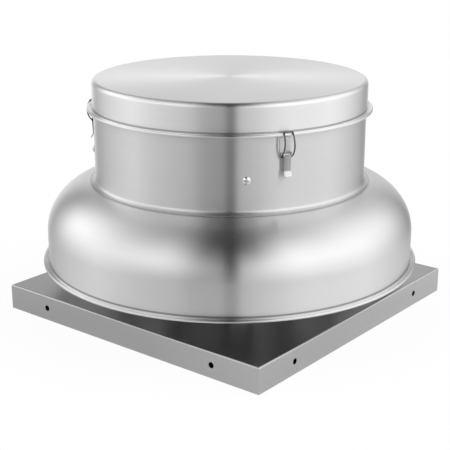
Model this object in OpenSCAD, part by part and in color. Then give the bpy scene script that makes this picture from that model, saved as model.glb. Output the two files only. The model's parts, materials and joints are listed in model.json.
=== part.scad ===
// Roof exhaust fan with a spun windband, a latched motor cover and a backward-curved wheel.
// The origin is the middle of the curb cap's lower rim, +Z points up, and sizes are millimetres.

/* [Curb cap] */
// Side of the square curb cap
cap_side = 482.6; // [450:1:600]
// Depth of the turned-down rim
cap_rim_h = 38.5; // [30:0.5:75]
// Thickness of the curb cap sheet
cap_sheet = 1.6; // [1:0.1:2.5]
// Inside radius of the fold between the top and the rim
cap_fold_r = 0.8; // [0.4:0.1:3]
// Diameter of the curb screw holes in the rim
curb_hole_d = 8.8; // [5:0.1:11]
// Distance between the two screw holes on each side
curb_hole_spacing = 321.7; // [200:0.1:400]

/* [Inlet venturi] */
// Inside radius of the throat
throat_r = 100; // [85:1:108]
// Radial width of the bell between the throat and the mouth
bell_w = 28; // [15:1:34]
// Height of the bell below the straight throat
bell_h = 60; // [30:1:66]
// Thickness of the venturi sheet
venturi_sheet = 1.2; // [0.8:0.1:2]
// Width of the flange that lies on the curb cap
venturi_flange_w = 14; // [10:1:16]
// Number of rivets in the flange
venturi_rivets_n = 8; // [6:1:12]

/* [Fan wheel] */
// Outside radius of the wheel
wheel_r = 146; // [130:1:150]
// Number of blades
blade_n = 9; // [6:1:12]
// Radius of the blades' curve
blade_curve_r = 150; // [130:1:220]
// Thickness of the blade sheet
blade_sheet = 2; // [1:0.1:3]
// Thickness of the back plate and the inlet ring
wheel_sheet = 2; // [1:0.1:3]
// Height of a blade at the wheel's rim
blade_rim_h = 48; // [35:1:56]
// Rise of the inlet ring's cone from its eye to its rim
ring_cone_h = 22; // [12:1:28]
// Radial gap between the venturi and the wheel's eye
eye_gap = 2.8; // [1.5:0.1:4]
// Length of the venturi inside the wheel's eye
eye_overlap = 6; // [3:0.5:9]
// Height of the wheel's cylindrical eye lip
eye_lip_h = 8; // [6:0.5:12]
// Gap between the wheel and the windband deck
wheel_deck_gap = 12; // [8:0.5:20]
// Radius of the hub
hub_r = 19; // [15:0.5:24]
// Length of the hub
hub_h = 36; // [28:1:40]
// Thickness of the hub flange
hub_flange_t = 4; // [3:0.5:6]
// Number of rivets that hold the hub flange to the back plate
hub_rivets_n = 6; // [4:1:8]

/* [Windband] */
// Outside radius of the straight lower wall
wind_r = 280.4; // [270:0.1:300]
// Gap between the curb cap and the lower rim
discharge_gap = 40.2; // [30:0.1:60]
// Height of the straight wall above the middle of the wired edge
wind_wall_h = 48; // [35:0.5:60]
// Radial width of the rounded shoulder
shoulder_w = 82; // [72:0.5:86]
// Height of the rounded shoulder
shoulder_h = 74.5; // [66:0.5:85]
// Thickness of the windband sheet
wind_sheet = 1.5; // [1:0.1:2.5]
// Radius of the wired edge of the lower rim
wind_roll_r = 2.2; // [2:0.1:3]
// Distance from the wall's outside to the middle of the wired edge
wind_rim_w = 6.2; // [5.5:0.1:8]
// Radius of the opening in the deck above the wheel
deck_open_r = 120; // [100:1:140]

/* [Support legs] */
// Radius at which the inner faces of the legs stand
leg_r = 158; // [156:0.5:162]
// Width of a leg
leg_w = 34; // [26:1:40]
// Depth of a leg's side walls
leg_d = 12; // [8:0.5:14]
// Length of the feet at both ends of a leg
leg_foot = 24; // [22:1:28]
// Thickness of the leg sheet
leg_sheet = 2; // [1.5:0.1:3]
// Diameter of the leg bolts
leg_bolt_d = 6; // [5:0.5:8]

/* [Motor housing] */
// Outside radius of the cylindrical housing
house_r = 205.2; // [203.5:0.1:208]
// Height from the windband deck to the top of the housing
house_h = 153.2; // [140:0.5:190]
// Thickness of the housing sheet
house_sheet = 1.5; // [1:0.1:2]
// Outside radius of the flare at the housing's foot
foot_flare_r = 6; // [4:0.5:8]
// Outside radius of the bend at the housing's top
house_bend_r = 5.5; // [3:0.5:7]
// Width of the flange turned in at the top
house_flange_w = 18; // [12:0.5:24]
// Height of the housing screws above the deck
house_screw_h = 48.5; // [36:0.5:52]
// Diameter of the housing screws' pan heads
pan_head_d = 11; // [9:0.5:13]
// Height of the pan heads
pan_head_h = 3; // [2:0.1:4]
// Diameter of the housing screws' threads
house_screw_d = 5; // [4:0.5:6]

/* [Motor plate] */
// Thickness of the motor plate
plate_sheet = 2; // [1.5:0.1:3]
// Height of the rim turned up inside the housing
plate_rim_h = 58; // [57:0.5:64]
// Outside radius of the bend at the rim's foot
plate_bend_r = 5; // [4:0.5:7]
// Radius of the shaft opening
shaft_open_r = 26; // [24:0.5:36]

/* [Motor cover] */
// Height of the skirt from the top to the middle of the wired edge
skirt_h = 43.8; // [36:0.1:52]
// Thickness of the cover sheet
cover_sheet = 1.2; // [0.8:0.1:1.6]
// Outside radius of the bend between the top and the skirt
cover_bend_r = 7.2; // [7:0.1:9]
// Radius of the cover's wired edge
cover_roll_r = 2; // [1.8:0.1:2.6]
// Distance from the skirt's outside to the middle of the wired edge
cover_rim_w = 6.2; // [5.5:0.1:7]

/* [Draw latches] */
// Number of latches
latch_n = 3; // [2:1:4]
// Compass angle of the first latch
latch_angle = -30; // [-36:1:-24]
// Radius of the bail wire
bail_wire_r = 1; // [0.8:0.05:1.2]
// Distance of the lever pivot from the housing wall
pivot_off = 6.6; // [6.2:0.1:7.4]
// Height of the lever pivot below the middle of the cover's wired edge
pivot_drop = 27.7; // [25:0.1:32]
// Distance from the lever pivot to the bail pivot
crank_r = 4.6; // [4.4:0.1:5]
// Angle of the bail pivot from straight below the lever pivot, toward the wall
crank_angle = 29; // [24:1:34]
// How far each bail leg bows outward
bail_bow = 7.6; // [6.5:0.1:8.5]
// Half the width of the bail at its pivot
bail_half_w = 8.1; // [7.95:0.05:9]
// Half the width of the bail at its top bar
bail_top_half_w = 6.4; // [6.2:0.1:6.8]
// Width of the lever
lever_w = 10.4; // [9.6:0.1:10.6]
// Length of the lever from its pivot to the foot of its finger tab
lever_len = 22; // [20:0.5:28]
// Length of the finger tab
tab_len = 9; // [7:0.5:11]
// Thickness of the lever and base sheet
latch_sheet = 1; // [0.8:0.05:1.1]
// Width of the latch base
base_w = 17; // [16:0.5:22]
// Radius of the lever pivot pin
pivot_pin_r = 1.2; // [1:0.05:1.4]

/* [Motor] */
// Outside radius of the motor shell
motor_r = 62; // [56:0.5:66]
// Length of the motor shell between the end bells
motor_shell_h = 72; // [60:1:84]
// Height of each end bell
bell_end_h = 14; // [12:0.5:16]
// Thickness of the shell
shell_t = 2.5; // [2:0.1:4]
// Radius of the shaft
shaft_r = 6.35; // [5:0.05:8]
// Radial running clearance between the shaft and its bearings
shaft_fit = 0.05; // [0.02:0.01:0.08]
// Outside radius of the bearings
bearing_r = 16; // [14:0.5:18]
// Height of the bearings
bearing_h = 9; // [7:0.5:9.5]
// Radius of the rotor
rotor_r = 37.4; // [30:0.1:40]
// Air gap between the rotor and the stator
air_gap = 0.6; // [0.4:0.1:1.2]
// Height of the rubber isolators under the motor bracket
isolator_h = 12; // [9:0.5:16]
// Radius of the isolators
isolator_r = 9; // [7:0.5:10]

/* [Wiring] */
// Outside radius of the conduit tube
conduit_r = 11; // [9:0.5:12]
// Wall of the conduit tube
conduit_t = 1.5; // [1:0.1:2.5]
// Distance from the housing's outside to the middle of the conduit
conduit_wall = 40.2; // [38:0.1:45]
// Width of the junction box
box_w = 64; // [50:1:76]
// Depth of the junction box
box_d = 52; // [44:1:56]
// Height of the junction box
box_h = 45; // [32:1:60]
// Thickness of the junction box sheet
box_sheet = 1.5; // [1:0.1:2.5]

/* [Hidden] */
$fn = 96;
SPUN = "#c9cacb";
SHEET = "#a9abad";
STEEL = "#8e9093";
BRIGHT = "#dcdddf";
DARK = "#3c3f43";
RUBBER = "#2a2a2a";

// Clearance between pieces that seat on each other
seat_gap = 0.1;
// Clearance between the cover's skirt and the housing
slip_gap = 0.3;
// Inside radius of the bend between a spun wall and the flange of its wired edge
rim_bend_r = 2.5;
// Radial clearance of a bolt, rivet or tube in its hole
hole_gap = 0.3;
// Radius of the rivets' shanks in the venturi and the hub
rivet_r = 1.9;
// Radius of the latch rivets' shanks
latch_rivet_r = 1.5;
// Running clearance of the latch pins and wires
pin_fit = 0.06;

// Levels, from the curb cap up to the cover
cap_bend_r = cap_fold_r + cap_sheet;
roll_z = cap_rim_h + discharge_gap + wind_roll_r;
shoulder_z = roll_z + wind_wall_h;
shoulder_r = wind_r - shoulder_w;
deck_z = shoulder_z + shoulder_h;
plate_top_z = deck_z + plate_sheet;
house_top_z = deck_z + house_h;
cover_in_z = house_top_z + slip_gap;
cover_top_z = cover_in_z + cover_sheet;
skirt_in_r = house_r + slip_gap;
skirt_r = skirt_in_r + cover_sheet;
cover_roll_z = cover_top_z - skirt_h;
cover_roll_c = skirt_r + cover_rim_w;
cover_rim_z = cover_roll_z - cover_roll_r + cover_sheet + rim_bend_r;
wind_roll_c = wind_r + wind_rim_w;
wind_rim_z = roll_z - wind_roll_r + wind_sheet + rim_bend_r;

// Wheel levels, from the back plate down to the eye
wheel_top_z = deck_z - wind_sheet - wheel_deck_gap;
blade_top_z = wheel_top_z - wheel_sheet;
ring_rim_z = blade_top_z - blade_rim_h;
ring_eye_z = ring_rim_z - ring_cone_h;
eye_z = ring_eye_z - eye_lip_h;
eye_r = throat_r + venturi_sheet + eye_gap;
venturi_top_z = eye_z + eye_overlap;
mouth_r = throat_r + bell_w;
venturi_flange_r = mouth_r + venturi_flange_w;
venturi_rivet_r = mouth_r + venturi_flange_w / 2 + 0.5;
blade_in_r = eye_r + wheel_sheet + 1;
blade_out_r = wheel_r - 1;
blade_angle = 35;
blade_circle_d = sqrt(blade_in_r * blade_in_r + blade_curve_r * blade_curve_r
    - 2 * blade_in_r * blade_curve_r * cos(blade_angle));
hub_z = blade_top_z - hub_h;
hub_flange_r = hub_r + 16;
hub_rivet_r = hub_r + 9;

// Leg and bolt places
leg_bolt_r = leg_r + leg_sheet + (leg_foot - leg_sheet) / 2 + 1;
leg_top_z = deck_z - wind_sheet;
bolt_hole_r = leg_bolt_d / 2 + hole_gap;
nut_h = 5;
low_head_h = 2.5;

// Housing screw places
plate_rim_r = house_r - house_sheet - slip_gap;
house_screw_z = deck_z + house_screw_h;

// Motor levels
bracket_t = 3;
bracket_z = plate_top_z + isolator_h;
lower_bell_z = bracket_z + bracket_t;
shell_z = lower_bell_z + bell_end_h;
upper_bell_z = shell_z + motor_shell_h;
motor_top_z = upper_bell_z + bell_end_h;
bell_floor = 4;
isolator_ring = motor_r + isolator_r + 6;
motor_bolt_r = 2;
motor_bolt_ring = motor_r - shell_t - 5;
stator_in_r = rotor_r + air_gap;
stack_inset = 10;

// Latch geometry in its radial plane: first the distance from the fan's axis, then the height
plate_face_r = house_r + seat_gap + latch_sheet;
pivot = [house_r + pivot_off, cover_roll_z - pivot_drop];
crank = pivot - crank_r * [sin(crank_angle), cos(crank_angle)];
hook_r = cover_roll_r + bail_wire_r + slip_gap;
hook_start = 30;
hook_end = 96;
hook_c = [cover_roll_c, cover_roll_z];
lever_boss_r = 2.7;
crank_boss_r = 2.2;
lever_tip_r = 3;
lever_tip = [house_r + 5.1, pivot[1] - lever_len];
ear_gap = 0.3;
ear_r = 2.9;
ear_in = lever_w / 2 + ear_gap;
ear_out = ear_in + latch_sheet;
base_top_drop = 3.4;
base_top_z = cover_roll_z - cover_roll_r - 2.8;
base_neck_z = pivot[1] + 1.6;
base_low_z = lever_tip[1] + 2;
tab_flare = 26;
latch_rivet_z = [base_top_z - base_top_drop, lever_tip[1] + 7];

// Conduit and junction box places
conduit_pos = house_r - conduit_wall;
box_y = conduit_pos;
box_lip = 8;
box_play = 0.3;
lid_screw_r = 1.6;
grommet_r = 7;
locknut_r = conduit_r + 4.5;
locknut_h = 4;

function polar(r, a) = r * [cos(a), sin(a)];

// Point on the shoulder's curve at angle a, moved inward along its normal
function shoulder_point(a, inset) =
    let (n = [cos(a) / shoulder_w, sin(a) / shoulder_h])
    [shoulder_r + shoulder_w * cos(a), shoulder_z + shoulder_h * sin(a)] - inset * n / norm(n);

// Point on the venturi's bell, moved outward along its normal
function bell_point(a, outset) =
    let (n = [cos(a) / bell_w, sin(a) / bell_h], c = [mouth_r, cap_rim_h + bell_h])
    c + [-bell_w * cos(a), -bell_h * sin(a)] + outset * n / norm(n);

// Height of the wheel inlet ring's upper face at a radius
function ring_top(r) = ring_eye_z + ring_cone_h * (r - eye_r) / (wheel_r - eye_r);

// Centre of a circle through two points whose arc bows to the left of the way from p to q
function bow_radius(p, q, bow) = (pow(norm(q - p) / 2, 2) + bow * bow) / (2 * bow);
function bow_centre(p, q, bow) =
    let (d = (q - p) / norm(q - p), r = bow_radius(p, q, bow))
    (p + q) / 2 + (r - bow) * [d[1], -d[0]];

// A disc section with a rounded upper corner, drawn from the axis outward
module corner_profile(r, z0, z1, bend) {
    translate([0, z0]) square([r, z1 - bend - z0]);
    translate([0, z0]) square([r - bend, z1 - z0]);
    translate([r - bend, z1 - bend]) circle(bend);
}

// Lower edge of a spun wall: a bend, a short flat flange and an edge closed round a wire
module wired_rim(wall, c, z, r, sheet) {
    foot = z - r;
    outer = rim_bend_r + sheet;
    translate([wall + rim_bend_r, foot + outer]) intersection() {
        difference() {
            circle(outer);
            circle(rim_bend_r);
        }
        translate([-outer, -outer]) square(outer);
    }
    translate([wall + rim_bend_r, foot]) square([c - wall - rim_bend_r, sheet]);
    translate([c, z]) circle(r);
}

module at_diagonals() {
    for (i = [0:3]) rotate(45 + 90 * i) children();
}

module at_venturi_rivets() {
    for (i = [0:venturi_rivets_n - 1]) rotate(360 * (i + 0.5) / venturi_rivets_n)
        translate([venturi_rivet_r, 0, 0]) children();
}

module at_hub_rivets() {
    for (i = [0:hub_rivets_n - 1]) rotate(360 * i / hub_rivets_n)
        translate([hub_rivet_r, 0, 0]) children();
}

module hex_nut(r, h, bore) {
    difference() {
        cylinder(r = r, h = h, $fn = 6);
        translate([0, 0, -1]) cylinder(r = bore, h = h + 2);
    }
}

// Two circles joined by their outer tangents
module tapered_bar(p, rp, q, rq) {
    d = norm(q - p);
    base = atan2(q[1] - p[1], q[0] - p[0]);
    t = acos((rp - rq) / d);
    translate(p) circle(rp);
    translate(q) circle(rq);
    polygon([p, p + polar(rp, base + t), q + polar(rq, base + t), q,
        q + polar(rq, base - t), p + polar(rp, base - t)]);
}

// Section of the folded sheet box along one side
module fold_profile(half, h, bend) {
    translate([-half, 0]) square([2 * half, h - bend]);
    translate([bend - half, 0]) square([2 * (half - bend), h]);
    for (s = [-1, 1]) translate([s * (half - bend), h - bend]) circle(bend);
}

module folded_block(half, h, bend) {
    intersection() {
        translate([0, half + 1, 0]) rotate([90, 0, 0]) linear_extrude(2 * half + 2)
            fold_profile(half, h, bend);
        translate([-half - 1, 0, 0]) rotate([90, 0, 90]) linear_extrude(2 * half + 2)
            fold_profile(half, h, bend);
    }
}

module curb_cap() {
    half = cap_side / 2;
    color(SHEET) difference() {
        folded_block(half, cap_rim_h, cap_bend_r);
        translate([0, 0, -1])
            folded_block(half - cap_sheet, cap_rim_h - cap_sheet + 1, cap_fold_r);
        cylinder(r = mouth_r + 1, h = cap_rim_h + 1);
        for (i = [0:3]) rotate(90 * i) for (s = [-1, 1])
            translate([s * curb_hole_spacing / 2, -half - 1, cap_rim_h / 2])
                rotate([-90, 0, 0]) cylinder(d = curb_hole_d, h = cap_sheet + 2);
        at_diagonals() translate([leg_bolt_r, 0, 0]) cylinder(r = bolt_hole_r, h = cap_rim_h + 1);
        translate([0, conduit_pos, 0]) cylinder(r = conduit_r + hole_gap, h = cap_rim_h + 1);
        at_venturi_rivets() cylinder(r = rivet_r + hole_gap, h = cap_rim_h + 1);
    }
}

module inlet_venturi() {
    steps = 14;
    seat = cap_rim_h;
    color(SPUN) difference() {
        rotate_extrude() polygon(concat(
            [[venturi_flange_r, seat], [venturi_flange_r, seat + venturi_sheet]],
            [for (k = [0:steps]) bell_point(90 - 90 * k / steps, venturi_sheet)],
            [[throat_r + venturi_sheet, venturi_top_z], [throat_r, venturi_top_z]],
            [for (k = [0:steps]) bell_point(90 * k / steps, 0)]
        ));
        at_venturi_rivets() cylinder(r = rivet_r + hole_gap, h = cap_rim_h + 2 * venturi_sheet);
    }
}

// Blind rivet: a domed head above z = 0 and an upset tail below the sheets
module blind_rivet(r, grip) {
    translate([0, 0, -grip]) cylinder(r = r, h = grip);
    intersection() {
        translate([0, 0, -1.6 * r]) sphere(2.6 * r);
        cylinder(r = 3 * r, h = 2 * r);
    }
    translate([0, 0, -grip - r]) cylinder(r = 1.5 * r, h = r);
}

module venturi_rivets() {
    color(STEEL) at_venturi_rivets() translate([0, 0, cap_rim_h + venturi_sheet])
        blind_rivet(rivet_r, cap_sheet + venturi_sheet);
}

// Channel-shaped leg with a foot turned outward at each end
module support_leg(i) {
    color(SHEET) rotate(90 * i - 45) difference() {
        union() {
            translate([leg_r, -leg_w / 2, cap_rim_h])
                cube([leg_sheet, leg_w, leg_top_z - cap_rim_h]);
            for (s = [0, 1]) translate([leg_r, s * (leg_w - leg_sheet) - leg_w / 2, cap_rim_h])
                cube([leg_d, leg_sheet, leg_top_z - cap_rim_h]);
            for (z = [cap_rim_h, leg_top_z - leg_sheet]) translate([leg_r, -leg_w / 2, z])
                cube([leg_foot, leg_w, leg_sheet]);
        }
        translate([leg_bolt_r, 0, 0]) cylinder(r = bolt_hole_r, h = deck_z);
    }
}

module leg_bolts() {
    head_r = 0.95 * leg_bolt_d;
    low_z = cap_rim_h - cap_sheet;
    color(STEEL) at_diagonals() translate([leg_bolt_r, 0, 0]) {
        translate([0, 0, low_z - low_head_h]) cylinder(r = head_r, h = low_head_h);
        translate([0, 0, low_z]) cylinder(d = leg_bolt_d, h = cap_rim_h + leg_sheet + nut_h + 2 - low_z);
        translate([0, 0, cap_rim_h + leg_sheet]) hex_nut(head_r, nut_h, leg_bolt_d / 2);
        translate([0, 0, leg_top_z - leg_sheet - nut_h]) cylinder(r = head_r, h = nut_h, $fn = 6);
        translate([0, 0, leg_top_z - leg_sheet])
            cylinder(d = leg_bolt_d, h = plate_top_z + nut_h + 2 - leg_top_z + leg_sheet);
        translate([0, 0, plate_top_z]) hex_nut(head_r, nut_h, leg_bolt_d / 2);
    }
}

module windband() {
    steps = 30;
    color(SPUN) difference() {
        rotate_extrude($fn = 180) {
            polygon(concat(
                [[wind_r, wind_rim_z]],
                [for (k = [0:steps]) shoulder_point(90 * k / steps, 0)],
                [[deck_open_r, deck_z], [deck_open_r, deck_z - wind_sheet]],
                [for (k = [0:steps]) shoulder_point(90 - 90 * k / steps, wind_sheet)],
                [[wind_r - wind_sheet, wind_rim_z]]
            ));
            wired_rim(wind_r, wind_roll_c, roll_z, wind_roll_r, wind_sheet);
        }
        at_diagonals() translate([leg_bolt_r, 0, shoulder_z])
            cylinder(r = bolt_hole_r, h = shoulder_h + 1);
        translate([0, conduit_pos, shoulder_z])
            cylinder(r = conduit_r + hole_gap, h = shoulder_h + 1);
    }
}

module motor_plate() {
    rim_top = plate_rim_h;
    color(SHEET) difference() {
        translate([0, 0, deck_z]) rotate_extrude($fn = 180) difference() {
            translate([0, rim_top]) mirror([0, 1])
                corner_profile(plate_rim_r, 0, rim_top, plate_bend_r);
            translate([0, rim_top + 1]) mirror([0, 1]) corner_profile(plate_rim_r - plate_sheet, 0,
                rim_top + 1 - plate_sheet, plate_bend_r - plate_sheet);
            square([shaft_open_r, 2 * plate_sheet]);
        }
        at_diagonals() {
            translate([leg_bolt_r, 0, deck_z - 1]) cylinder(r = bolt_hole_r, h = plate_sheet + 2);
            translate([plate_rim_r - 2 * plate_sheet, 0, house_screw_z]) rotate([0, 90, 0])
                cylinder(d = house_screw_d + 2 * hole_gap, h = 3 * plate_sheet);
        }
        translate([0, conduit_pos, deck_z - 1])
            cylinder(r = conduit_r + hole_gap, h = plate_sheet + 2);
        for (i = [0:3]) rotate(90 * i) translate([isolator_ring, 0, deck_z - 1])
            cylinder(r = 2.5 + hole_gap, h = plate_sheet + 2);
    }
}

module motor_housing() {
    flare_c = house_r + foot_flare_r;
    edge = asin((flare_c - shoulder_r) / shoulder_w);
    seat = shoulder_z + shoulder_h * cos(edge) + seat_gap;
    flare_z = seat + house_sheet + foot_flare_r;
    color(SPUN) difference() {
        rotate_extrude($fn = 180) {
            difference() {
                corner_profile(house_r, flare_z, house_top_z, house_bend_r);
                translate([0, -1]) corner_profile(house_r - house_sheet, flare_z,
                    house_top_z + 1 - house_sheet, house_bend_r - house_sheet);
                square([house_r - house_flange_w, house_top_z + 1]);
            }
            intersection() {
                translate([flare_c, flare_z]) difference() {
                    circle(foot_flare_r + house_sheet);
                    circle(foot_flare_r);
                }
                translate([flare_c - 2 * foot_flare_r, flare_z - 2 * foot_flare_r])
                    square(2 * foot_flare_r);
            }
        }
        at_diagonals() translate([house_r - 3 * house_sheet, 0, house_screw_z])
            rotate([0, 90, 0]) cylinder(d = house_screw_d + 2 * hole_gap, h = 6 * house_sheet);
        for (i = [1:latch_n]) at_latch(i) for (z = latch_rivet_z)
            translate([0, house_r - 3 * house_sheet, z]) rotate([-90, 0, 0])
                cylinder(r = latch_rivet_r + hole_gap, h = 6 * house_sheet);
    }
}

// Pan-head screws with a cross recess, and the nuts inside the motor plate's rim
module housing_screws() {
    inner = plate_rim_r - plate_sheet;
    nut = 4;
    color(BRIGHT) at_diagonals() translate([house_r, 0, house_screw_z]) rotate([0, 90, 0]) {
        difference() {
            intersection() {
                cylinder(d = pan_head_d, h = pan_head_h);
                translate([0, 0, pan_head_h - 1.5 * pan_head_d]) sphere(1.5 * pan_head_d);
            }
            for (a = [0, 90]) rotate(a)
                translate([-pan_head_d / 4, -0.6, pan_head_h - 1.6]) cube([pan_head_d / 2, 1.2, 2]);
        }
        translate([0, 0, inner - nut - 2 - house_r])
            cylinder(d = house_screw_d, h = house_r + nut + 2 - inner);
        translate([0, 0, inner - nut - seat_gap - house_r]) hex_nut(house_screw_d, nut, house_screw_d / 2);
    }
}

module motor_cover() {
    color(SPUN) rotate_extrude($fn = 180) {
        difference() {
            corner_profile(skirt_r, cover_rim_z, cover_top_z, cover_bend_r);
            translate([0, -1]) corner_profile(skirt_in_r, cover_rim_z,
                cover_in_z + 1, cover_bend_r - cover_sheet);
        }
        wired_rim(skirt_r, cover_roll_c, cover_roll_z, cover_roll_r, cover_sheet);
    }
}

// Places a latch piece: children use x across, y away from the fan's axis, z up
module at_latch(i) {
    rotate(latch_angle + 360 * (i - 1) / latch_n - 90) children();
}

// Extrudes a section drawn in the latch's radial plane, from x0 to x1 across
module across(x0, x1) {
    translate([x0, 0, 0]) rotate([90, 0, 90]) linear_extrude(x1 - x0) children();
}

module latch_base(i) {
    corner = 3;
    color(BRIGHT) at_latch(i) difference() {
        union() {
            translate([0, house_r + seat_gap, 0]) rotate([-90, 0, 0]) mirror([0, 1])
                linear_extrude(latch_sheet) {
                    translate([-base_w / 2, base_neck_z])
                        square([base_w, base_top_z - corner - base_neck_z]);
                    translate([corner - base_w / 2, base_neck_z])
                        square([base_w - 2 * corner, base_top_z - base_neck_z]);
                    for (s = [-1, 1]) translate([s * (base_w / 2 - corner), base_top_z - corner])
                        circle(corner);
                    translate([-ear_out, base_low_z])
                        square([2 * ear_out, base_neck_z - base_low_z]);
                }
            for (s = [-1, 1]) across(min(s * ear_in, s * ear_out), max(s * ear_in, s * ear_out))
                ear_profile();
        }
        across(-base_w, base_w) translate(pivot) circle(pivot_pin_r + pin_fit);
        for (z = latch_rivet_z) translate([0, house_r, z]) rotate([-90, 0, 0])
            cylinder(r = latch_rivet_r, h = 2 * latch_sheet);
    }
}

// Side outline of an ear: round at the pivot, and a web that stays above the bail's ends
module ear_profile() {
    wall = house_r + seat_gap;
    top = pivot[1] + ear_r;
    web_h = 2 * ear_r + 0.4;
    slant = -150;
    translate(pivot) circle(ear_r);
    polygon([[wall, top], [pivot[0], top], pivot + polar(ear_r, slant), [wall, top - web_h]]);
}

// The lever's side outline: boss at the pivot, boss at the bail, and a taper to the tip
module lever_outline(inset) {
    tapered_bar(pivot, lever_boss_r - inset, crank, crank_boss_r - inset);
    tapered_bar(crank, crank_boss_r - inset, lever_tip, lever_tip_r - inset);
    tapered_bar(pivot, lever_boss_r - inset, lever_tip, lever_tip_r - inset);
    polygon([pivot, crank, lever_tip]);
}

module latch_lever(i) {
    half = lever_w / 2;
    inner = half - latch_sheet;
    tab_half = half + 0.6;
    color(BRIGHT) at_latch(i) difference() {
        union() {
            difference() {
                across(-half, half) lever_outline(0);
                across(-inner, inner) {
                    lever_outline(latch_sheet);
                    translate([house_r, lever_tip[1] - lever_tip_r + latch_sheet])
                        square([lever_tip[0] - house_r, lever_len]);
                    translate([house_r, pivot[1] - lever_boss_r])
                        square([pivot[0] - house_r, 2 * lever_boss_r - latch_sheet]);
                }
            }
            translate([0, lever_tip[0] + lever_tip_r, lever_tip[1]]) rotate([tab_flare, 0, 0])
                translate([0, -latch_sheet, 0]) rotate([-90, 0, 0]) linear_extrude(latch_sheet) {
                    translate([-tab_half, 0]) square([2 * tab_half, tab_len - tab_half / 2]);
                    translate([tab_half / 2 - tab_half, 0]) square([tab_half, tab_len]);
                    for (s = [-1, 1]) translate([s * tab_half / 2, tab_len - tab_half / 2])
                        circle(tab_half / 2);
                }
        }
        across(-lever_w, lever_w) translate(pivot) circle(pivot_pin_r + pin_fit);
        across(-lever_w, lever_w) translate(crank) circle(bail_wire_r + pin_fit);
    }
}

// A piece of round wire bent along an arc in the latch's radial plane
module wire_arc(c, r, a0, a1) {
    translate([0, c[0], c[1]]) rotate([90, 0, 90]) rotate(a0)
        rotate_extrude(angle = a1 - a0) translate([r, 0]) circle(bail_wire_r, $fn = 32);
}

module latch_bail(i) {
    start = hook_c + polar(hook_r, hook_start);
    top = hook_c + polar(hook_r, hook_end);
    bow_c = bow_centre(start, crank, bail_bow);
    bow_r = bow_radius(start, crank, bail_bow);
    a0 = atan2(crank[1] - bow_c[1], crank[0] - bow_c[0]);
    a1 = atan2(start[1] - bow_c[1], start[0] - bow_c[0]);
    rise = top[1] - crank[1];
    lean = atan2(bail_half_w - bail_top_half_w, rise);
    elbow = 1.06 * bail_wire_r;
    end_in = lever_w / 2 - latch_sheet - 0.4;
    color(STEEL) at_latch(i) {
        for (s = [-1, 1]) {
            translate([s * bail_half_w, crank[0], crank[1]]) rotate([0, -s * lean, 0])
                translate([0, -crank[0], -crank[1]]) {
                    wire_arc(bow_c, bow_r, a0, a1);
                    wire_arc(hook_c, hook_r, hook_start, hook_end);
                    translate([0, start[0], start[1]]) sphere(elbow, $fn = 32);
                }
            translate([s * bail_half_w, crank[0], crank[1]]) sphere(elbow, $fn = 32);
            translate([s * (bail_half_w + end_in) / 2, crank[0], crank[1]]) rotate([0, 90, 0])
                cylinder(r = bail_wire_r, h = bail_half_w - end_in, center = true, $fn = 32);
            translate([s * bail_top_half_w, top[0], top[1]]) sphere(elbow, $fn = 32);
        }
        translate([0, top[0], top[1]]) rotate([0, 90, 0])
            cylinder(r = bail_wire_r, h = 2 * bail_top_half_w, center = true, $fn = 32);
    }
}

module latch_pins() {
    color(STEEL) for (i = [1:latch_n]) at_latch(i)
        across(-ear_out - 0.15, ear_out + 0.15) translate(pivot) circle(pivot_pin_r);
}

module latch_rivets() {
    head_r = latch_rivet_r + 1.1;
    head_h = 0.8;
    tail_r = latch_rivet_r + 0.8;
    tail_h = 1.2;
    reach = latch_sheet + house_sheet + 2 * seat_gap + tail_h;
    color(STEEL) for (i = [1:latch_n]) at_latch(i) for (z = latch_rivet_z)
        translate([0, plate_face_r, z]) rotate([-90, 0, 0]) {
            cylinder(r = head_r, h = head_h);
            translate([0, 0, -reach]) cylinder(r = latch_rivet_r, h = reach);
            translate([0, 0, -reach]) cylinder(r = tail_r, h = tail_h);
        }
}

module isolators() {
    color(RUBBER) for (i = [0:3]) rotate(90 * i) translate([isolator_ring, 0, plate_top_z])
        difference() {
            rotate_extrude() difference() {
                square([isolator_r, isolator_h]);
                translate([isolator_r + 2, isolator_h / 2]) circle(isolator_h / 3);
            }
            translate([0, 0, -1]) cylinder(r = 2.5, h = isolator_h + 2);
        }
}

module motor_bracket() {
    color(SHEET) translate([0, 0, bracket_z]) linear_extrude(bracket_t) difference() {
        union() {
            circle(motor_r + 3);
            for (i = [0:3]) rotate(90 * i) {
                translate([0, -isolator_r]) square([isolator_ring, 2 * isolator_r]);
                translate([isolator_ring, 0]) circle(isolator_r);
            }
        }
        circle(bearing_r + 5);
        for (i = [0:3]) rotate(90 * i) translate([isolator_ring, 0]) circle(2.5 + hole_gap);
        at_diagonals() translate([motor_bolt_ring, 0]) circle(motor_bolt_r + hole_gap);
    }
}

module isolator_bolts() {
    color(STEEL) for (i = [0:3]) rotate(90 * i) translate([isolator_ring, 0, 0]) {
        translate([0, 0, bracket_z + bracket_t]) cylinder(r = 4.6, h = 3.2, $fn = 6);
        translate([0, 0, deck_z]) cylinder(r = 2.5, h = bracket_z + bracket_t - deck_z);
    }
}

// End bell with a bearing pocket, drawn with its closed face at z = 0
module end_bell() {
    difference() {
        rotate_extrude() difference() {
            square([motor_r, bell_end_h]);
            translate([bearing_r + 4, bell_floor])
                square([motor_r - shell_t - bearing_r - 4, bell_end_h]);
            translate([0, bell_floor]) square([bearing_r, bell_end_h]);
            square([shaft_r + 1.2, bell_end_h]);
        }
        at_diagonals() translate([motor_bolt_ring, 0, -1])
            cylinder(r = motor_bolt_r + hole_gap, h = bell_end_h);
        for (i = [0:11]) rotate(30 * i + 15) translate([bearing_r + 10, 0, -1])
            cylinder(r = 3, h = bell_end_h);
    }
}

module motor_lower_bell() {
    color(DARK) translate([0, 0, lower_bell_z]) end_bell();
}

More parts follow.
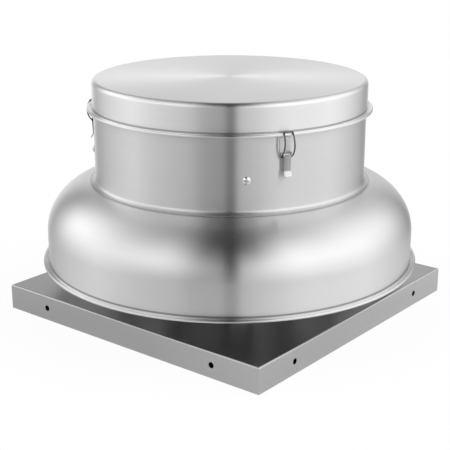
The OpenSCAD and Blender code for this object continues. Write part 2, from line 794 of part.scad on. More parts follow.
module motor_upper_bell() {
    color(DARK) translate([0, 0, motor_top_z]) mirror([0, 0, 1]) end_bell();
}

module motor_shell() {
    color(DARK) translate([0, 0, shell_z]) difference() {
        cylinder(r = motor_r, h = motor_shell_h);
        translate([0, 0, -1]) cylinder(r = motor_r - shell_t, h = motor_shell_h + 2);
    }
}

module stator() {
    color(STEEL) translate([0, 0, shell_z + stack_inset]) difference() {
        cylinder(r = motor_r - shell_t, h = motor_shell_h - 2 * stack_inset);
        translate([0, 0, -1]) cylinder(r = stator_in_r, h = motor_shell_h);
        at_diagonals() translate([motor_bolt_ring, 0, -1])
            cylinder(r = motor_bolt_r + hole_gap, h = motor_shell_h);
    }
}

module bearing_ring() {
    difference() {
        cylinder(r = bearing_r, h = bearing_h);
        translate([0, 0, -1]) cylinder(r = shaft_r + shaft_fit, h = bearing_h + 2);
    }
}

module lower_bearing() {
    color(STEEL) translate([0, 0, lower_bell_z + bell_floor]) bearing_ring();
}

module upper_bearing() {
    color(STEEL) translate([0, 0, motor_top_z - bell_floor - bearing_h]) bearing_ring();
}

module motor_bolts() {
    color(STEEL) at_diagonals() translate([motor_bolt_ring, 0, 0]) {
        translate([0, 0, bracket_z]) cylinder(r = motor_bolt_r, h = motor_top_z - bracket_z);
        translate([0, 0, bracket_z - 3]) cylinder(r = 3.6, h = 3);
        translate([0, 0, motor_top_z]) cylinder(r = 3.6, h = 3, $fn = 6);
    }
}

module rotor() {
    color(STEEL) translate([0, 0, shell_z + stack_inset]) difference() {
        cylinder(r = rotor_r, h = motor_shell_h - 2 * stack_inset);
        translate([0, 0, -1]) cylinder(r = shaft_r, h = motor_shell_h);
    }
}

module motor_shaft() {
    chamfer = 1;
    foot = hub_z - 2;
    color(BRIGHT) rotate_extrude() polygon([
        [0, foot], [shaft_r - chamfer, foot], [shaft_r, foot + chamfer],
        [shaft_r, motor_top_z + 3 - chamfer], [shaft_r - chamfer, motor_top_z + 3],
        [0, motor_top_z + 3]
    ]);
}

module wheel_hub() {
    color(STEEL) translate([0, 0, hub_z]) difference() {
        union() {
            cylinder(r = hub_r, h = hub_h);
            translate([0, 0, hub_h - hub_flange_t]) cylinder(r = hub_flange_r, h = hub_flange_t);
        }
        translate([0, 0, -1]) cylinder(r = shaft_r, h = hub_h + 2);
        at_hub_rivets() cylinder(r = rivet_r + hole_gap, h = hub_h + 1);
        translate([0, 0, hub_h / 3]) rotate([0, 90, 0]) cylinder(r = 3, h = hub_r + 1);
    }
}

module hub_set_screw() {
    color(DARK) translate([0, 0, hub_z + hub_h / 3]) rotate([0, 90, 0]) difference() {
        translate([0, 0, shaft_r]) cylinder(r = 3, h = hub_r - shaft_r - 1);
        translate([0, 0, hub_r - 4]) cylinder(r = 1.5, h = 4, $fn = 6);
    }
}

module wheel_back_plate() {
    color(SPUN) translate([0, 0, blade_top_z]) difference() {
        cylinder(r = wheel_r, h = wheel_sheet, $fn = 180);
        translate([0, 0, -1]) cylinder(r = shaft_r, h = wheel_sheet + 2);
        at_hub_rivets() translate([0, 0, -1]) cylinder(r = rivet_r + hole_gap, h = wheel_sheet + 2);
    }
}

module hub_rivets() {
    color(STEEL) at_hub_rivets() translate([0, 0, wheel_top_z])
        blind_rivet(rivet_r, wheel_sheet + hub_flange_t);
}

// Eye lip and conical shroud of the wheel
module wheel_inlet_ring() {
    slope = atan2(ring_cone_h, wheel_r - eye_r);
    t = wheel_sheet;
    lift = t / cos(slope);
    color(SPUN) rotate_extrude($fn = 180) polygon([
        [eye_r, eye_z], [eye_r + t, eye_z], [eye_r + t, ring_eye_z - lift + t * tan(slope)],
        [wheel_r, ring_rim_z - lift], [wheel_r, ring_rim_z], [eye_r, ring_eye_z]
    ]);
}

// One blade: part of a cylinder wall, cut to the wheel's channel between ring and back plate
module wheel_blade(i) {
    fan = 2 * wheel_r;
    color(SPUN) rotate(360 * i / blade_n) intersection() {
        translate([blade_circle_d, 0, ring_eye_z]) difference() {
            cylinder(r = blade_curve_r + blade_sheet / 2, h = blade_top_z - ring_eye_z, $fn = 180);
            translate([0, 0, -1])
                cylinder(r = blade_curve_r - blade_sheet / 2, h = blade_top_z, $fn = 180);
        }
        rotate_extrude($fn = 180) polygon([
            [blade_in_r, ring_top(blade_in_r) + seat_gap],
            [blade_out_r, ring_top(blade_out_r) + seat_gap],
            [blade_out_r, blade_top_z], [blade_in_r, blade_top_z]
        ]);
        translate([0, 0, ring_eye_z]) linear_extrude(blade_top_z)
            polygon([[0, 0], polar(fan, 50), polar(fan, 90), polar(fan, 130)]);
    }
}

module conduit_tube() {
    foot = cap_rim_h - cap_sheet - locknut_h - 1;
    top = plate_top_z + box_sheet + locknut_h + 1;
    color(STEEL) translate([0, conduit_pos, foot]) difference() {
        cylinder(r = conduit_r, h = top - foot);
        translate([0, 0, -1]) cylinder(r = conduit_r - conduit_t, h = top - foot + 2);
    }
}

module conduit_locknuts() {
    color(STEEL) for (z = [cap_rim_h - cap_sheet - locknut_h, cap_rim_h,
        deck_z - wind_sheet - locknut_h, plate_top_z + box_sheet])
        translate([0, conduit_pos, z]) hex_nut(locknut_r, locknut_h, conduit_r);
}

module at_lid_screws() {
    for (s = [-1, 1]) translate([0, box_y, plate_top_z + box_h - box_lip / 2])
        rotate([0, s * 90, 0]) children();
}

module junction_box() {
    front = box_y - box_d / 2;
    color(SHEET) difference() {
        translate([-box_w / 2, front, plate_top_z]) cube([box_w, box_d, box_h]);
        translate([box_sheet - box_w / 2, front + box_sheet, plate_top_z + box_sheet])
            cube([box_w - 2 * box_sheet, box_d - 2 * box_sheet, box_h]);
        translate([0, conduit_pos, plate_top_z - 1])
            cylinder(r = conduit_r + hole_gap, h = box_sheet + 2);
        translate([0, front - 1, plate_top_z + 0.6 * box_h]) rotate([-90, 0, 0])
            cylinder(r = grommet_r, h = box_sheet + 2);
        at_lid_screws() cylinder(r = lid_screw_r + hole_gap, h = box_w);
    }
}

module junction_box_lid() {
    top_z = plate_top_z + box_h;
    color(SHEET) difference() {
        translate([-box_w / 2 - box_play - box_sheet, box_y - box_d / 2, top_z - box_lip])
            cube([box_w + 2 * (box_play + box_sheet), box_d, box_lip + box_sheet]);
        translate([-box_w / 2 - box_play, box_y - box_d / 2 - 1, top_z - box_lip - 1])
            cube([box_w + 2 * box_play, box_d + 2, box_lip + 1]);
        at_lid_screws() cylinder(r = lid_screw_r + hole_gap, h = box_w);
    }
}

module box_lid_screws() {
    face = box_w / 2 + box_play + box_sheet;
    tip = box_w / 2 - box_sheet - 1;
    color(BRIGHT) at_lid_screws() {
        translate([0, 0, face]) cylinder(r = 2 * lid_screw_r, h = lid_screw_r);
        translate([0, 0, tip]) cylinder(r = lid_screw_r, h = face - tip);
    }
}

module box_grommet() {
    lip = 1.5;
    color(RUBBER) translate([0, box_y - box_d / 2, plate_top_z + 0.6 * box_h]) rotate([-90, 0, 0])
        rotate_extrude() difference() {
            union() {
                translate([0, -lip]) square([grommet_r + 2, lip]);
                square([grommet_r, box_sheet]);
                translate([0, box_sheet]) square([grommet_r + 2, lip]);
            }
            translate([0, -lip - 1]) square([grommet_r - 2, box_sheet + 2 * lip + 2]);
        }
}

curb_cap();
inlet_venturi();
venturi_rivets();
for (i = [1:4]) support_leg(i);
leg_bolts();
windband();
motor_plate();
motor_housing();
housing_screws();
motor_cover();
for (i = [1:latch_n]) latch_base(i);
for (i = [1:latch_n]) latch_lever(i);
for (i = [1:latch_n]) latch_bail(i);
latch_pins();
latch_rivets();
isolators();
motor_bracket();
isolator_bolts();
motor_lower_bell();
motor_shell();
motor_upper_bell();
stator();
lower_bearing();
upper_bearing();
motor_bolts();
rotor();
motor_shaft();
wheel_hub();
hub_set_screw();
wheel_back_plate();
hub_rivets();
wheel_inlet_ring();
for (i = [1:blade_n]) wheel_blade(i);
conduit_tube();
conduit_locknuts();
junction_box();
junction_box_lid();
box_lid_screws();
box_grommet();
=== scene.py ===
"""Looks of the roof exhaust fan: spun aluminium shells, sheet metal, latches and the studio."""
import json
import math

import bmesh
import bpy
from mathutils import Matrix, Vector, geometry


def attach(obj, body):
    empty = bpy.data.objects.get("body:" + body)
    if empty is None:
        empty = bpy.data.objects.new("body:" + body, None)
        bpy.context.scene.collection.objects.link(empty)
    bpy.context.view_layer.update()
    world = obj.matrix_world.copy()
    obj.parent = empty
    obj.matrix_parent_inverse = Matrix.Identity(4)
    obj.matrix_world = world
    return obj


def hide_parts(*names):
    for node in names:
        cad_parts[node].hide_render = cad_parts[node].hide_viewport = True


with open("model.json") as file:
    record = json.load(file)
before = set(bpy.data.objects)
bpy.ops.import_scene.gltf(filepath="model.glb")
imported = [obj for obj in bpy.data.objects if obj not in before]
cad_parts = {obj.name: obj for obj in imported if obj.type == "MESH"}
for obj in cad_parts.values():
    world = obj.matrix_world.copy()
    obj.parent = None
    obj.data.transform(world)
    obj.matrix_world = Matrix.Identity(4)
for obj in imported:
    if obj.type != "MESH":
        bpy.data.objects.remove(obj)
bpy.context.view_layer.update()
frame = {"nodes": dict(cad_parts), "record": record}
NODES = frame["nodes"]
MM = 0.001

# Driving sizes of the shells, in metres, as the part is built
CAP_HALF = 241.3 * MM
WIND_R = 280.4 * MM
WIND_SHEET = 1.5 * MM
WIND_ROLL = 2.2 * MM
WIND_ROLL_Z = 80.9 * MM
WIND_WALL = 48 * MM
SHOULDER_W = 82 * MM
SHOULDER_H = 74.5 * MM
DECK_OPEN = 120 * MM
HOUSE_R = 205.2 * MM
HOUSE_SHEET = 1.5 * MM
HOUSE_H = 153.2 * MM
HOUSE_BEND = 5.5 * MM
HOUSE_FLANGE = 18 * MM
FLARE_R = 6 * MM
COVER_SHEET = 1.2 * MM
COVER_BEND = 7.2 * MM
COVER_ROLL = 2 * MM
SKIRT_H = 43.8 * MM
RIM_W = 6.2 * MM
RIM_BEND = 2.5 * MM
SLIP = 0.3 * MM
SEAT = 0.1 * MM

SHOULDER_Z = WIND_ROLL_Z + WIND_WALL
DECK_Z = SHOULDER_Z + SHOULDER_H
HOUSE_TOP = DECK_Z + HOUSE_H
COVER_TOP = HOUSE_TOP + SLIP + COVER_SHEET
SKIRT_IN = HOUSE_R + SLIP
SKIRT_R = SKIRT_IN + COVER_SHEET
COVER_ROLL_Z = COVER_TOP - SKIRT_H
FOOT_R = HOUSE_R + FLARE_R
FOOT_Z = SHOULDER_Z + SHOULDER_H * math.sqrt(
    1 - ((FOOT_R - WIND_R + SHOULDER_W) / SHOULDER_W) ** 2) + SEAT

# Latches, in their own radial plane: distance from the fan's axis, then height
LATCH_ANGLES = (-30, 90, 210)
LATCH_SHEET = 1.0 * MM
PIVOT = (HOUSE_R + 6.6 * MM, COVER_ROLL_Z - 27.7 * MM)
CRANK_R = 4.6 * MM
CRANK_ANGLE = 29
CRANK = (PIVOT[0] - CRANK_R * math.sin(math.radians(CRANK_ANGLE)),
         PIVOT[1] - CRANK_R * math.cos(math.radians(CRANK_ANGLE)))
LEVER_LEN = 22 * MM
LEVER_TIP = (HOUSE_R + 5.1 * MM, PIVOT[1] - LEVER_LEN)
LEVER_HALF = 5.2 * MM
LEVER_DEPTH = 1.3 * MM
LEVER_EDGE = 0.6 * MM
PIVOT_BOSS = 2.7 * MM
CRANK_BOSS = 2.2 * MM
TIP_BOSS = 3 * MM
TAB_LEN = 9 * MM
TAB_HALF = 5.8 * MM
TAB_FLARE = 26
TAB_START = 1.3 * MM
TAB_CORNER = 2.9 * MM
TAB_EDGE = 0.3 * MM
WIRE_R = 1.0 * MM
WIRE_HALF = 8.1 * MM
WIRE_TOP_HALF = 6.4 * MM
WIRE_BOW = 7.6 * MM
WIRE_BEND = 1.3 * MM
HOOK_START = 30
HOOK_END = 96
BASE_HALF = 8.5 * MM
BASE_CORNER = 3 * MM
BASE_BEVEL = 0.2 * MM
SIDE_BEVEL = 0.15 * MM
BASE_TOP = COVER_ROLL_Z - COVER_ROLL - 2.8 * MM
BASE_NECK = PIVOT[1] + 1.6 * MM
BASE_LOW = LEVER_TIP[1] + 2 * MM
EAR_IN = 5.5 * MM
EAR_R = 2.9 * MM
LATCH_RIVETS = (BASE_TOP - 3.4 * MM, LEVER_TIP[1] + 7 * MM)
LATCH_RIVET_R = 1.5 * MM
RIVET_TAIL_H = 1.2 * MM
SCREW_Z = 251.9 * MM
SCREW_R = 2.5 * MM
SCREW_REACH = 8 * MM
SCREW_HEAD_R = 5.5 * MM
SCREW_HEAD_H = 3.0 * MM
CROSS_DEPTH = 2.1 * MM

# Roughness and stretch of the spun aluminium, and on the cover's flat top the share of that
# roughness and the stretch there
SPUN_GLOSS = 0.3
SPUN_SPREAD = 0.03
SPUN_STRETCH = 1.0
TOP_GLOSS = 0.85
TOP_STRETCH = 0.8
# Grey of the painted shade in each crease beside the wired edges and at the housing's foot
CREASE_SHADE_GREY = 0.12

# Camera, fitted to the photograph
CAM_SENSOR = 36
CAM_AZIMUTH = 38.78
CAM_PLACE = (1.0027, -1.2592, 0.6405)
CAM_PITCH = 72.20
CAM_LENS = 86.46


def node_tree(material):
    """Clears a material and returns its nodes, its links and a fresh shader wired to the output."""
    material.use_nodes = True
    nodes, links = material.node_tree.nodes, material.node_tree.links
    nodes.clear()
    out = nodes.new("ShaderNodeOutputMaterial")
    shader = nodes.new("ShaderNodeBsdfPrincipled")
    links.new(shader.outputs["BSDF"], out.inputs["Surface"])
    return nodes, links, shader


def math_node(nodes, links, kind, a, b=None):
    """One Math node fed by sockets or numbers."""
    node = nodes.new("ShaderNodeMath")
    node.operation = kind
    for socket, value in zip(node.inputs, (a, b)):
        if value is None:
            continue
        if isinstance(value, (int, float)):
            socket.default_value = value
        else:
            links.new(value, socket)
    return node.outputs["Value"]


def ramp_node(nodes, links, factor, stops, interpolation="LINEAR"):
    """A colour ramp with the given (position, grey or colour) stops."""
    node = nodes.new("ShaderNodeValToRGB")
    node.color_ramp.interpolation = interpolation
    elements = node.color_ramp.elements
    while len(elements) < len(stops):
        elements.new(0.5)
    for element, (position, value) in zip(elements, stops):
        element.position = position
        colour = (value, value, value) if isinstance(value, (int, float)) else value
        element.color = (*colour, 1.0)
    links.new(factor, node.inputs["Fac"])
    return node.outputs["Color"]


def noise_node(nodes, links, vector, scale, detail=2.0, roughness=0.5):
    """A noise texture's grey value."""
    node = nodes.new("ShaderNodeTexNoise")
    node.inputs["Scale"].default_value = scale
    node.inputs["Detail"].default_value = detail
    node.inputs["Roughness"].default_value = roughness
    links.new(vector, node.inputs["Vector"])
    return node.outputs["Fac"]


def bump_node(nodes, links, shader, height, strength, distance):
    """Gives a shader a bump of the given height."""
    node = nodes.new("ShaderNodeBump")
    node.inputs["Strength"].default_value = strength
    node.inputs["Distance"].default_value = distance
    links.new(height, node.inputs["Height"])
    links.new(node.outputs["Normal"], shader.inputs["Normal"])


def position(nodes, links):
    """Place on the piece: x, y, z and the distance from the axis."""
    split = nodes.new("ShaderNodeSeparateXYZ")
    links.new(nodes.new("ShaderNodeTexCoord").outputs["Object"], split.inputs["Vector"])
    x, y, z = split.outputs
    radius = math_node(nodes, links, "SQRT", math_node(
        nodes, links, "ADD", math_node(nodes, links, "MULTIPLY", x, x),
        math_node(nodes, links, "MULTIPLY", y, y)))
    return x, y, z, radius


def groove_vector(nodes, links, around, across):
    """Coordinates that run slowly round the axis and fast across the lathe's grooves."""
    x, y, z, radius = position(nodes, links)
    step = math_node(nodes, links, "SUBTRACT", radius, z)
    join = nodes.new("ShaderNodeCombineXYZ")
    links.new(math_node(nodes, links, "MULTIPLY", x, around), join.inputs["X"])
    links.new(math_node(nodes, links, "MULTIPLY", y, around), join.inputs["Y"])
    links.new(math_node(nodes, links, "MULTIPLY", step, across), join.inputs["Z"])
    return join.outputs["Vector"]


def between(nodes, links, value, low, high, start=0.0, end=1.0):
    """The start number up to low, the end number from high on, and a straight change between."""
    span = nodes.new("ShaderNodeMapRange")
    span.inputs["From Min"].default_value = low
    span.inputs["From Max"].default_value = high
    span.inputs["To Min"].default_value = start
    span.inputs["To Max"].default_value = end
    links.new(value, span.inputs["Value"])
    return span.outputs["Result"]


def blend(nodes, links, factor, a, b):
    """Mixes two colours, greys or sockets."""
    mix = nodes.new("ShaderNodeMix")
    mix.data_type = "RGBA"
    links.new(factor, mix.inputs[0])
    for socket, value in ((mix.inputs[6], a), (mix.inputs[7], b)):
        if isinstance(value, float):
            socket.default_value = (value, value, value, 1)
        else:
            links.new(value, socket)
    return mix.outputs[2]


def ring_shade(nodes, links, inner, outer, low, high):
    """1 on a ring between two distances from the axis and two heights, fading to 0 outside it."""
    _, _, z, radius = position(nodes, links)
    soft = 0.5 * MM
    sides = [between(nodes, links, radius, inner - soft, inner + soft),
             between(nodes, links, radius, outer + soft, outer - soft),
             between(nodes, links, z, low - soft, low + soft),
             between(nodes, links, z, high + soft, high - soft)]
    shade = sides[0]
    for side in sides[1:]:
        shade = math_node(nodes, links, "MULTIPLY", shade, side)
    return shade


def spun_metal(name, colour, crease_shade_rings=(), top=None):
    """Aluminium turned on a lathe: fine rings, a gloss stretched by them and painted shade
    darkening each crease.
    """
    material = bpy.data.materials.new(name)
    nodes, links, shader = node_tree(material)
    # Fine rings for gloss and height, broad bands for colour
    rings = noise_node(nodes, links, groove_vector(nodes, links, 1.2, 900.0), 1.0, 3.0, 0.6)
    bands = noise_node(nodes, links, groove_vector(nodes, links, 0.8, 60.0), 1.0, 2.0)
    low = tuple(0.98 * c for c in colour)
    tint = ramp_node(nodes, links, bands, [(0.3, low), (0.7, colour)])
    # Painted shade: each ring darkens the colour towards a dark grey, standing in for the shade in
    # a crease or seam
    for *ring, strength in crease_shade_rings:
        shade = math_node(nodes, links, "MULTIPLY", ring_shade(nodes, links, *ring), strength)
        tint = blend(nodes, links, shade, tint, CREASE_SHADE_GREY)
    links.new(tint, shader.inputs["Base Color"])
    gloss = between(nodes, links, rings, 0.0, 1.0,
                    SPUN_GLOSS - SPUN_SPREAD, SPUN_GLOSS + SPUN_SPREAD)
    shader.inputs["Metallic"].default_value = 1.0
    shader.inputs["Anisotropic"].default_value = SPUN_STRETCH
    if top:
        _, _, z, _ = position(nodes, links)
        edge = (top - 1.0 * MM, top - 0.2 * MM)
        gloss = math_node(nodes, links, "MULTIPLY", gloss,
                          between(nodes, links, z, *edge, 1.0, TOP_GLOSS))
        links.new(between(nodes, links, z, *edge, SPUN_STRETCH, TOP_STRETCH),
                  shader.inputs["Anisotropic"])
    links.new(gloss, shader.inputs["Roughness"])
    shader.inputs["Anisotropic Rotation"].default_value = 0.25
    tangent = nodes.new("ShaderNodeTangent")
    tangent.direction_type = "RADIAL"
    tangent.axis = "Z"
    links.new(tangent.outputs["Tangent"], shader.inputs["Tangent"])
    bump_node(nodes, links, shader, rings, 0.05, 0.4 * MM)
    return material


def sheet_metal(name, colour, roughness, grain=(2.0, 2.0, 2.0), strength=0.04, mottled=1.0):
    """Rolled or plated sheet: a faint mottled grain in colour, gloss and height."""
    material = bpy.data.materials.new(name)
    nodes, links, shader = node_tree(material)
    place = nodes.new("ShaderNodeTexCoord").outputs["Object"]
    mapping = nodes.new("ShaderNodeMapping")
    mapping.inputs["Scale"].default_value = grain
    links.new(place, mapping.inputs["Vector"])
    mottle = noise_node(nodes, links, mapping.outputs["Vector"], 40.0, 4.0, 0.6)
    fine = noise_node(nodes, links, mapping.outputs["Vector"], 600.0, 2.0)
    low = tuple((1 - 0.1 * mottled) * c for c in colour)
    tint = ramp_node(nodes, links, mottle, [(0.25, low), (0.75, colour)])
    links.new(tint, shader.inputs["Base Color"])
    spread = 0.04 * mottled
    links.new(between(nodes, links, mottle, 0.0, 1.0, roughness - spread, roughness + spread),
              shader.inputs["Roughness"])
    shader.inputs["Metallic"].default_value = 1.0
    bump_node(nodes, links, shader, fine, strength, 0.3 * MM)
    return material


def dull_coat(name, colour, roughness, strength=0.15):
    """Paint or rubber: no metal, a fine orange-peel texture."""
    material = bpy.data.materials.new(name)
    nodes, links, shader = node_tree(material)
    place = nodes.new("ShaderNodeTexCoord").outputs["Object"]
    fine = noise_node(nodes, links, place, 900.0, 3.0)
    low = tuple(0.8 * c for c in colour)
    mottle = noise_node(nodes, links, place, 25.0)
    tint = ramp_node(nodes, links, mottle, [(0.3, low), (0.7, colour)])
    links.new(tint, shader.inputs["Base Color"])
    shader.inputs["Roughness"].default_value = roughness
    bump_node(nodes, links, shader, fine, strength, 0.2 * MM)
    return material


# A painted crease shade is a ring: least and greatest distance from the axis, least and greatest
# height, and how dark the painted shade is
MATERIALS = {
    "spun_aluminium": spun_metal("spun aluminium", (0.77, 0.77, 0.775), crease_shade_rings=[
        # Painted shadow on the edge of the housing's flared foot, where it meets the windband
        (HOUSE_R + 5 * MM, HOUSE_R + 9 * MM, FOOT_Z - 1 * MM, FOOT_Z + 1.5 * MM, 0.4)]),
    "windband": spun_metal("spun windband", (0.85, 0.85, 0.855), crease_shade_rings=[
        # Painted shade in the crease above the windband's wired rim
        (0, WIND_R + 1.4 * MM, WIND_ROLL_Z + 2.2 * MM, WIND_ROLL_Z + 4.8 * MM, 0.6),
        # Painted shadow of the seam round the housing's foot, on the windband's deck
        (HOUSE_R + 5.5 * MM, HOUSE_R + 9 * MM, DECK_Z - 6 * MM, DECK_Z + 1 * MM, 0.25)]),
    "cover": spun_metal("spun cover", (0.93, 0.93, 0.935), top=COVER_TOP, crease_shade_rings=[
        # Painted shade in the crease above the cover's wired rim
        (0, SKIRT_R + 1.4 * MM, COVER_ROLL_Z + 1.4 * MM, COVER_ROLL_Z + 4.2 * MM, 0.55)]),
    "sheet_aluminium": sheet_metal("curb cap sheet", (0.57, 0.57, 0.57), 0.3, strength=0.012,
                                   mottled=0.2),
    "galvanised_steel": sheet_metal("galvanised steel", (0.58, 0.59, 0.60), 0.38, strength=0.08),
    "wheel_aluminium": sheet_metal("wheel sheet", (0.74, 0.745, 0.75), 0.3),
    "zinc_steel": sheet_metal("zinc plate", (0.66, 0.66, 0.66), 0.28),
    "stainless_steel": sheet_metal("stainless steel", (0.72, 0.72, 0.72), 0.16),
    "latch_base": sheet_metal("latch base", (0.88, 0.88, 0.88), 0.5),
    "latch_wire": sheet_metal("latch wire", (0.13, 0.13, 0.135), 0.25),
    "latch_lever": sheet_metal("latch lever", (0.62, 0.62, 0.62), 0.18),
    "screw_steel": sheet_metal("screw steel", (0.92, 0.92, 0.92), 0.12, mottled=0.3),
    "motor_paint": dull_coat("motor paint", (0.03, 0.032, 0.035), 0.42),
    "core_steel": sheet_metal("core steel", (0.38, 0.38, 0.39), 0.45),
    "ground_steel": sheet_metal("ground steel", (0.72, 0.72, 0.73), 0.15),
    "hub_iron": sheet_metal("hub iron", (0.30, 0.30, 0.31), 0.5, strength=0.2),
    "rubber": dull_coat("rubber", (0.02, 0.02, 0.02), 0.7),
}


def dress_cad_nodes():
    """Gives every CAD node the material of its slot."""
    for row in frame["record"]["subparts"]:
        node = NODES[row["node"]]
        node.data.materials.clear()
        node.data.materials.append(MATERIALS[row["material_slot"]])


def new_object(name, mesh, material, body, slot, *replaced):
    """Links a finished mesh as a piece that rides on a body and stands for some CAD nodes."""
    piece = bpy.data.objects.new(name, mesh)
    bpy.context.scene.collection.objects.link(piece)
    mesh.materials.append(material)
    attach(piece, body)
    if replaced:
        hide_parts(*replaced)
    return piece


def lathe_mesh(name, profile, steps=360, sharp=35.0):
    """Revolves a closed (radius, height) loop round the Z axis."""
    mesh = bmesh.new()
    rings = []
    for radius, height in profile:
        if radius < 1e-7:
            rings.append([mesh.verts.new((0, 0, height))])
            continue
        rings.append([
            mesh.verts.new((radius * math.cos(math.tau * k / steps),
                            radius * math.sin(math.tau * k / steps), height))
            for k in range(steps)])
    for lower, upper in zip(rings, rings[1:] + rings[:1]):
        if len(lower) == 1 and len(upper) == 1:
            continue
        for k in range(steps):
            n = (k + 1) % steps
            if len(upper) == 1:
                mesh.faces.new((lower[k], lower[n], upper[0]))
            elif len(lower) == 1:
                mesh.faces.new((lower[0], upper[n], upper[k]))
            else:
                mesh.faces.new((lower[k], lower[n], upper[n], upper[k]))
    return finish_mesh(mesh, name, sharp)


def arc(centre, radius, start, end, count):
    """Points on a circle in the (radius, height) plane, from one angle to another in degrees."""
    return [(centre[0] + radius * math.cos(math.radians(start + (end - start) * k / count)),
             centre[1] + radius * math.sin(math.radians(start + (end - start) * k / count)))
            for k in range(count + 1)]


def shoulder(angle, inset):
    """Point on the windband's shoulder, moved inward along its normal."""
    a = math.radians(angle)
    n = Vector((math.cos(a) / SHOULDER_W, math.sin(a) / SHOULDER_H)).normalized()
    base = WIND_R - SHOULDER_W
    return (base + SHOULDER_W * math.cos(a) - inset * n.x,
            SHOULDER_Z + SHOULDER_H * math.sin(a) - inset * n.y)


def wired_rim(wall, height, radius, sheet):
    """Section of a spun wall's lower edge, from its inside round the wired edge to its outside."""
    foot = height - radius
    bend = (wall + RIM_BEND, foot + sheet + RIM_BEND)
    meet = math.degrees(math.asin((radius - sheet) / radius))
    return (arc(bend, RIM_BEND + sheet, 180, 270, 8)
            + arc((wall + RIM_W, height), radius, -90, 180 + meet, 28)
            + arc(bend, RIM_BEND, 270, 180, 8))


def windband():
    """The spun windband with its wired lower rim."""
    steps = 72
    outer = [shoulder(90 * k / steps, 0) for k in range(steps + 1)]
    inner = [shoulder(90 - 90 * k / steps, WIND_SHEET) for k in range(steps + 1)]
    profile = (outer + [(DECK_OPEN, DECK_Z), (DECK_OPEN, DECK_Z - WIND_SHEET)] + inner
               + wired_rim(WIND_R, WIND_ROLL_Z, WIND_ROLL, WIND_SHEET))
    data = lathe_mesh("windband_skin", profile)
    new_object("windband_skin", data, MATERIALS["windband"], "fan_body",
               "spun_aluminium", "windband")


def motor_housing():
    """The spun housing: flared foot, straight wall and a flange turned in at the top."""
    flare = (FOOT_R, FOOT_Z + HOUSE_SHEET + FLARE_R)
    bend_c = (HOUSE_R - HOUSE_BEND, HOUSE_TOP - HOUSE_BEND)
    lip = HOUSE_R - HOUSE_FLANGE
    profile = (arc(flare, FLARE_R, 270, 180, 14)
               + arc(bend_c, HOUSE_BEND, 0, 90, 12)
               + [(lip, HOUSE_TOP), (lip, HOUSE_TOP - HOUSE_SHEET)]
               + arc(bend_c, HOUSE_BEND - HOUSE_SHEET, 90, 0, 12)
               + arc(flare, FLARE_R + HOUSE_SHEET, 180, 270, 14))
    data = lathe_mesh("housing_skin", profile)
    new_object("housing_skin", data, MATERIALS["spun_aluminium"], "fan_body",
               "spun_aluminium", "motor_housing")


def motor_cover():
    """The lift-off cover with its wired rim."""
    bend_c = (SKIRT_R - COVER_BEND, COVER_TOP - COVER_BEND)
    top = [(0, COVER_TOP)]
    under = [(0, COVER_TOP - COVER_SHEET)]
    profile = (arc(bend_c, COVER_BEND, 0, 90, 16) + top + under
               + arc(bend_c, COVER_BEND - COVER_SHEET, 90, 0, 16)
               + wired_rim(SKIRT_R, COVER_ROLL_Z, COVER_ROLL, COVER_SHEET))
    data = lathe_mesh("cover_skin", profile)
    new_object("cover_skin", data, MATERIALS["cover"], "fan_body",
               "spun_aluminium", "motor_cover")


def radial(angle, y, z, x=0.0):
    """A point of a latch: x across, y out from the axis, z up, at an angle round the axis."""
    a = math.radians(angle)
    return Vector((y * math.cos(a) + x * -math.sin(a), y * math.sin(a) + x * math.cos(a), z))


def skin_rings(mesh, rings):
    """Joins equal rings of points into a tube and closes its ends."""
    rows = [[mesh.verts.new(point) for point in ring] for ring in rings]
    count = len(rows[0])
    for lower, upper in zip(rows, rows[1:]):
        for k in range(count):
            n = (k + 1) % count
            mesh.faces.new((lower[k], lower[n], upper[n], upper[k]))
    mesh.faces.new(rows[0][::-1])
    mesh.faces.new(rows[-1])


def finish_mesh(mesh, name, sharp=32.0):
    """Turns a working mesh into a smooth one whose edges stay sharp from an angle in degrees on."""
    bmesh.ops.recalc_face_normals(mesh, faces=mesh.faces)
    data = bpy.data.meshes.new(name)
    mesh.to_mesh(data)
    mesh.free()
    for polygon in data.polygons:
        polygon.use_smooth = True
    data.set_sharp_from_angle(angle=math.radians(sharp))
    return data


def tube(mesh, path, radius, sides=14):
    """Sweeps a circle along a path without twisting it."""
    points = [Vector(p) for p in path]
    rings = []
    side = None
    for k, point in enumerate(points):
        ahead = (points[min(k + 1, len(points) - 1)] - points[max(k - 1, 0)]).normalized()
        if side is None:
            side = ahead.orthogonal().normalized()
        side = (side - ahead * side.dot(ahead)).normalized()
        other = ahead.cross(side)
        rings.append([point + radius * (math.cos(math.tau * j / sides) * side
                                        + math.sin(math.tau * j / sides) * other)
                      for j in range(sides)])
    skin_rings(mesh, rings)


def rounded(points, reach, count=6):
    """Replaces each inner corner of a polyline with a small curve."""
    points = [Vector(p) for p in points]
    result = [points[0]]
    for before, corner, after in zip(points, points[1:], points[2:]):
        back = corner + (before - corner) * min(0.5, reach / (before - corner).length)
        front = corner + (after - corner) * min(0.5, reach / (after - corner).length)
        for k in range(count + 1):
            t = k / count
            result.append((1 - t) ** 2 * back + 2 * t * (1 - t) * corner + t * t * front)
    return result + [points[-1]]


